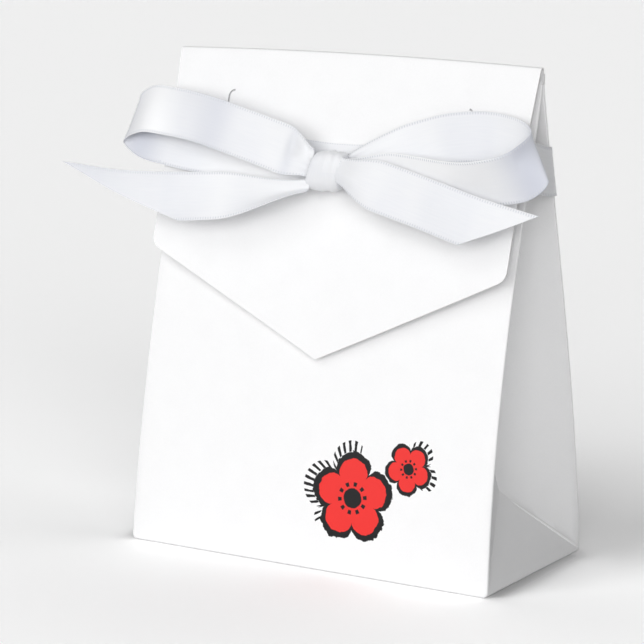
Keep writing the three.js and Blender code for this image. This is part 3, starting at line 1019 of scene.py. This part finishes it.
class Run:
    """A run of ribbon: its middle line, its tilt and its length in millimetres."""

    def __init__(self, stops):
        self.middle = curve_through([Vector(stop[:3]) for stop in stops])
        self.tilt = curve_through([Vector((stop[3], stop[4], 10 * k)) for k, stop in enumerate(stops)])
        self.lengths = running_length([self.middle(share) for share in steps(0, 1, 400)])
        self.length = self.lengths[-1]

    def share_at(self, run):
        run = min(max(run, 0), self.length)
        low, high = 0, len(self.lengths) - 1
        while high - low > 1:
            half = (low + high) // 2
            if self.lengths[half] <= run:
                low = half
            else:
                high = half
        into = (run - self.lengths[low]) / max(self.lengths[high] - self.lengths[low], TINY)
        return (low + into) / (len(self.lengths) - 1)

    def point(self, run, across, width=RIBBON_WIDTH):
        share = self.share_at(run)
        tilt = self.tilt(share)
        lean, slant = math.radians(tilt.x), math.radians(tilt.y)
        edge = Vector(
            (-math.sin(slant), math.sin(lean) * math.cos(slant), math.cos(lean) * math.cos(slant))
        )
        return self.middle(share) + edge * (across * width)

    def normal(self, run, across):
        step = 0.2
        along = self.point(run + step, across) - self.point(run - step, across)
        up = self.point(run, across + 0.05) - self.point(run, across - 0.05)
        return along.cross(up).normalized()


print("ribbon helpers ready")

# %% [markdown]
# ## The bow
# The bow has two loops and two tails. Each loop leaves the knot, turns at its far end and comes back.
# Their stops were set by laying the loops over the picture from the camera's place, one stop at a time,
# and keeping each run just clear of the card and of its neighbours.

# %% Lay the loops and tails
KNOT = Vector((-0.7, -12.4, 99.9))
TUCKED_FROM = 4.25
CAMBER = 0.22
FLUTTER = 0.18
SWING_PITCH = 31
GATHER_DEPTH = 0.55


def knot_side(side):
    """Where the runs end, a little inside the knot."""
    return KNOT.x + side * TUCKED_FROM


def gather(run_length, near, far):
    """How wide the ribbon is open along a run, from the widths that its ends are drawn into."""

    def opened(run):
        width = RIBBON_WIDTH
        for end, distance in ((near, run), (far, run_length - run)):
            if end:
                width *= mix(end[0] / RIBBON_WIDTH, 1, smooth(distance / end[1]))
        return width

    return opened


def dents_at(dents, distance, across):
    """Soft dents and bulges that the pull of the knot leaves: (distance, across, depth, long, wide)."""
    total = 0
    for at, level, depth, long, wide in dents:
        total += depth * math.exp(-(((distance - at) / long) ** 2) - ((across - level) / wide) ** 2)
    return total


def ribbon_piece(
    name, stops, finish, near=None, far=None, cut=0, folds=2.5, columns=150, wave=0, dents=()
):
    """One run of the bow. near and far are (width, reach) where it is drawn in, cut is the slant of its
    end, folds and dents come from the pull of the knot, and wave is how far the ribbon swings."""
    run = Run(stops)
    opened = gather(run.length, near, far)

    def distance_at(column, across):
        return column * (run.length - (0.5 - across) * cut)

    def place(column, across):
        distance = distance_at(column, across)
        width = opened(distance)
        drawn = 1 - width / RIBBON_WIDTH
        pleat = math.cos(2 * math.pi * folds * across + 0.6) * drawn * GATHER_DEPTH
        camber = CAMBER * (1 - 4 * across * across)
        flutter = FLUTTER * noise.noise(Vector((distance / 9, across * 2.2, len(name))))
        swing = wave * math.sin(2 * math.pi * distance / SWING_PITCH + 2.4 * across)
        out = pleat + camber + (flutter + swing) * (1 - drawn) + dents_at(dents, distance, across)
        return run.point(distance, across, width) + run.normal(distance, across) * out

    def flat(column, across):
        return distance_at(column, across), across * RIBBON_WIDTH

    piece = lay_sheet(name, steps(0, 1, columns), steps(-0.5, 0.5, 16), place, flat=flat)
    thicken(piece, finish, finish, RIBBON, offset=0, edge=RIBBON_EDGE, sharp_from=60)
    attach(piece, "ribbon")
    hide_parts(name)
    report(piece)


ribbon_piece(
    "ribbon_loop_left",
    [
        (knot_side(-1), -13, 101.6, 10, 0),
        (-12, -13.6, 104.3, 13, -14),
        (-25, -14.4, 108, 12, -16),
        (-37, -14.4, 110.8, 3, -13),
        (-47, -13.8, 112.1, 10, -9),
        (-56, -12.6, 112.1, 20, -8),
        (-61.8, -10.8, 108.6, 12, -16),
        (-58.5, -9.8, 105.4, 14, -14),
        (-50, -9.6, 103.6, 15, -10),
        (-36, -9.8, 102, 15, -7),
        (-20, -10, 100.6, 15, -5),
        (knot_side(-1), -10.6, 99.8, 12, 0),
    ],
    satin_left_painted_light,
    near=(7.5, 9),
    far=(7, 12),
    columns=260,
    wave=0.25,
    dents=[(6.6, 0.14, -0.9, 1.8, 0.3), (3, 0.25, 0.6, 1.6, 0.22)],
)
ribbon_piece(
    "ribbon_loop_right",
    [
        (knot_side(1), -10.3, 101, 12, 0),
        (9, -9.8, 103.2, 14, 15),
        (19, -9, 106.2, 15, 17),
        (32, -8.2, 109.8, 15, 12),
        (46, -8.6, 110.6, 13, 8),
        (58.4, -12.2, 107.6, 8, 26),
        (55, -15.6, 103.2, -14, 20),
        (45, -16.2, 100.5, -24, 12),
        (34, -15.2, 99.5, -17, 4),
        (20, -13.8, 99.6, -2, 0),
        (knot_side(1), -12.4, 100.2, 8, 0),
    ],
    satin_right_painted_light,
    near=(6.5, 20),
    far=(6.5, 16),
    columns=260,
    wave=0.2,
)
ribbon_piece(
    "ribbon_tail_left",
    [
        (knot_side(-1), -15.2, 96.1, 35, 10),
        (-20, -17.4, 93.4, 32, 12),
        (-32, -19, 92, 20, 7),
        (-46, -20.4, 91, 12, 3),
        (-60, -21.6, 90.7, 8, 0),
        (-77.5, -22.2, 91.7, 8, -4),
    ],
    satin_tail_painted_light,
    near=(3.6, 26),
    cut=37,
    folds=1,
    wave=0.15,
)
ribbon_piece(
    "ribbon_tail_right",
    [
        (knot_side(1), -14.8, 100.8, 12, -8),
        (10, -16.6, 99.4, 14, -12),
        (19, -17.6, 97.4, 14, -14),
        (30, -18.5, 94.9, 12, -16),
        (44, -19.2, 91.4, 12, -15),
        (60, -18.8, 88, 14, -10),
    ],
    satin,
    near=(6.5, 14),
    cut=18,
    folds=1,
    wave=0.15,
)

# %% [markdown]
# ## The band and the knot
# Between the bow and the back the ribbon is drawn tight round the box. It lies flat on the flap, turns
# the upright edges sharply and bridges the hollow of each side pleat. The knot is the same ribbon
# wrapped once over all the runs, with soft folds running round it.

# %% Draw the band tight
BAND_HEIGHT = 101.6
BAND_DRAWN = 0.35
BAND_DRAWN_REACH = 46
BAND_FRONT_RISE = 2.6
BAND_GAP = 0.3
BAND_CORNER = 0.5


def flap_front_depth(x, z):
    lean = flap_lean(x)
    down = (RIDGE_AXIS.z + FLAP_OFF * math.sin(lean) - z) / math.cos(lean)
    return on_flap(x, down).y


def band_route(z):
    """The band's route at height z as (x, y), once round the box and back to its start."""
    radius = BAND_CORNER + BAND_GAP
    reach = WIDTH / 2 + BAND_GAP - radius
    back_y = half_depth(z) + BAND_GAP
    front_y = flap_front_depth(reach, z) - BAND_GAP
    route = [(x, flap_front_depth(x, z) - BAND_GAP) for x in steps(-reach, reach, 60)]

    def turn(cx, cy, start):
        for degrees in steps(start, start + 90, 5)[1:]:
            angle = math.radians(degrees)
            route.append((cx + radius * math.cos(angle), cy + radius * math.sin(angle)))

    turn(reach, front_y + radius, -90)
    route.extend((reach + radius, y) for y in steps(front_y + radius, back_y - radius, 8)[1:-1])
    turn(reach, back_y - radius, 0)
    route.extend((x, back_y) for x in steps(reach, -reach, 30)[1:-1])
    turn(-reach, back_y - radius, 90)
    route.extend((-reach - radius, y) for y in steps(back_y - radius, front_y + radius, 8)[1:-1])
    turn(-reach, front_y + radius, 180)
    return route


RISE = RIBBON_WIDTH / 2 * math.cos(math.radians(FLAP_LEAN))
band_shares = steps(-0.5, 0.5, 14)
band_levels = {share: band_route(BAND_HEIGHT + share * 2 * RISE) for share in band_shares}
band_count = len(band_levels[0])


def band_middle(x, y):
    """Height of the band's middle: level behind, rising round the sides, drawn down to the knot."""
    front, behind = flap_front_depth(WIDTH / 2, BAND_HEIGHT), half_depth(BAND_HEIGHT)
    corner = BAND_HEIGHT + BAND_FRONT_RISE * smooth((behind - y) / (behind - front))
    if y > front * 0.9:
        return corner
    return mix(KNOT.z, corner, smooth(abs(x - KNOT.x) / BAND_DRAWN_REACH))


def band_place(column, share):
    x, y = band_levels[share][column % band_count]
    straight_x = band_levels[0][column % band_count][0]
    drawn = 1
    in_front = y < 0 and abs(straight_x) < WIDTH / 2 - 1
    if in_front:
        drawn = mix(BAND_DRAWN, 1, smooth(abs(x - KNOT.x) / BAND_DRAWN_REACH))
    z = band_middle(straight_x, y) + share * 2 * RISE * drawn
    if in_front:
        y = flap_front_depth(x, z) - BAND_GAP
    return x, y, z


def band_flat(column, share):
    return band_run[column], share * RIBBON_WIDTH


middle_route = [Vector((*spot, 0)) for spot in band_levels[0]]
band_run = running_length(middle_route + middle_route[:1])

band = lay_sheet("band", list(range(band_count + 1)), band_shares, band_place, flat=band_flat)
close_seam(band)
turn_out(band, lambda centre: Vector((centre.x, centre.y + 0.005, 0)))
thicken(band, satin, satin, RIBBON, offset=1, edge=RIBBON_EDGE, sharp_from=60)
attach(band, "ribbon")
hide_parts("ribbon_band")
report(band)

# %% Wrap the knot
KNOT_WIDTH = 9.8
KNOT_TILT = 0.25
KNOT_TAPER = 0.09
KNOT_HEIGHT = 10.3
KNOT_DEPTH = 6.4
KNOT_SQUARE = 2.6
KNOT_RUN = 27


def knot_place(column, row):
    """column runs across the wrap's width from -0.5 to 0.5, row once round it."""
    angle = 2 * math.pi * row
    edge = (1 - (abs(column) * 2) ** 4) ** 0.5
    swell = mix(0.62, 1, edge)
    creases = 0.025 * math.cos(2 * math.pi * 2.6 * column + 0.8) + 0.014 * math.cos(
        2 * math.pi * 4.1 * column - 0.5 + 0.4 * math.sin(angle)
    )
    radius = swell * (1 + creases)
    square = abs(math.cos(angle)) ** KNOT_SQUARE + abs(math.sin(angle)) ** KNOT_SQUARE
    square **= -1 / KNOT_SQUARE
    rise = radius * square * math.sin(angle)
    x = KNOT.x + KNOT_WIDTH * column * (1 - KNOT_TAPER * rise) + KNOT_TILT * KNOT_HEIGHT / 2 * rise
    y = KNOT.y - KNOT_DEPTH / 2 * radius * square * math.cos(angle)
    z = KNOT.z + KNOT_HEIGHT / 2 * rise
    return x, y, z


def knot_flat(column, row):
    return row * KNOT_RUN, column * RIBBON_WIDTH


knot = lay_sheet("knot", steps(-0.5, 0.5, 28), steps(0, 1, 64), knot_place, flat=knot_flat)
close_seam(knot)
turn_out(knot, lambda centre: centre - KNOT * MM)
thicken(knot, satin, satin, RIBBON, edge=RIBBON_EDGE, sharp_from=60)
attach(knot, "ribbon")
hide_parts("ribbon_knot")
report(knot)

# %% [markdown]
# ## The floor and the light
# The box stands on a pale floor that runs back into the distance without a line. Two broad soft lamps
# stand low in front, one to the left and one to the right, so the bow's shadow hides behind the bow. A
# weaker one from above draws the folds. The sides get less of their light, and the floor's shadow falls
# behind the box. A low lamp far behind lights the back alone.


# %% Lay the floor and hang the lamps
FLOOR_GREY = 0.8
FLOOR_SEEN = 1.76
# Painted shade on the floor in front of the box, and a painted contact shadow along its sides.
FLOOR_SEEN_IN_PAINTED_SHADE = 1.26
FRONT_SHADE_MIDDLE = (-0.005, -0.03)
FRONT_SHADE_REACH = 0.075
CONTACT_SHADOW_REACH = 0.004
CONTACT_SHADOW_DEPTH = 0.5


def grey(level):
    return level, level, level, 1


def floor_finish():
    """Plain pale floor. The camera sees it paler than it lights the box, and sees its shadow too.
    A painted shade makes it a little darker round the front of the box, where the white card throws
    light on it, and a painted contact shadow runs along the foot of each side, which stands just clear
    of it."""
    finish = Finish("pale floor")
    place = finish.node("ShaderNodeTexCoord", output=3)
    rays = finish.node("ShaderNodeLightPath").socket.node.outputs
    seen = Wire(finish, rays["Is Camera Ray"])
    for kind in ("Is Glossy Ray", "Is Transmission Ray"):
        seen = seen.maths("MAXIMUM", Wire(finish, rays[kind]))
    x, y, _ = finish.apart(place)
    from_front = ((x - FRONT_SHADE_MIDDLE[0]) ** 2 + (y - FRONT_SHADE_MIDDLE[1]) ** 2) / FRONT_SHADE_REACH**2
    # Painted shade where the box's white front throws its light on the floor.
    front_painted_shade = (-from_front).maths("EXPONENT") * y.between(0.02, -0.01)
    pale = finish.mix_colour(front_painted_shade, grey(FLOOR_SEEN), grey(FLOOR_SEEN_IN_PAINTED_SHADE))
    from_side = (x.maths("ABSOLUTE") - WIDTH / 2 * MM) / CONTACT_SHADOW_REACH
    # A painted contact shadow along the foot of each side.
    painted_contact_shadow = (-(from_side**2)).maths("EXPONENT") * y.between(-0.028, -0.02) * y.between(0.03, 0.02)
    pale = finish.mix_colour(painted_contact_shadow * CONTACT_SHADOW_DEPTH, pale, grey(0))
    colour = finish.mix_colour(seen, grey(FLOOR_GREY), pale)
    grain = finish.noise(place, 30).between(0, 1)
    colour = finish.mix_colour(grain * 0.01, colour, grey(1))
    shader = finish.node("ShaderNodeBsdfDiffuse", inputs={"Color": colour})
    finish.node("ShaderNodeOutputMaterial", inputs={"Surface": shader})
    return finish.material


deselect()
bpy.ops.mesh.primitive_plane_add(size=12, location=(0, 0, -0.0001))
floor = bpy.context.object
floor.name = "floor"
floor.data.materials.append(floor_finish())


def hang_soft_lamp(name, azimuth, elevation, softness, level):
    """A broad soft lamp; level is how bright a white face square to it looks, from 0 to 1."""
    turn, tilt = math.radians(azimuth), math.radians(elevation)
    away = direction(turn, tilt)
    bpy.ops.object.light_add(type="SUN", location=away * 1.5)
    lamp = bpy.context.object
    lamp.name = name
    lamp.data.energy = math.pi * level
    lamp.data.angle = math.radians(softness)
    lamp.rotation_mode = "QUATERNION"
    lamp.rotation_quaternion = (-away).to_track_quat("-Z", "Y")


hang_soft_lamp("key lamp", azimuth=-20, elevation=10, softness=45, level=0.4)
hang_soft_lamp("fill lamp", azimuth=33, elevation=12, softness=45, level=0.49)
hang_soft_lamp("top lamp", azimuth=-30, elevation=48, softness=30, level=0.18)
hang_soft_lamp("back lamp", azimuth=180, elevation=1, softness=10, level=0.2)

# %% [markdown]
# The rest of the light comes from the room itself. It is brighter in front of the box than behind it,
# as in a studio whose far end is not lit, so that the shadow behind the box stays deep.

# %% Light the room
ROOM_FRONT = 0.2
ROOM_BACK = 0.13


def room_light():
    room = Finish("studio", "worlds")
    _, back, _ = room.apart(room.node("ShaderNodeTexCoord"))
    colour = room.mix_colour(back.between(-0.6, 0.6), grey(ROOM_FRONT), grey(ROOM_BACK))
    light = room.node("ShaderNodeBackground", inputs={"Color": colour, "Strength": 1.0})
    room.node("ShaderNodeOutputWorld", inputs={"Surface": light})
    return room.material


bpy.context.scene.world = room_light()
bpy.context.scene.view_settings.view_transform = "Standard"
print("lamps and floor are in place")
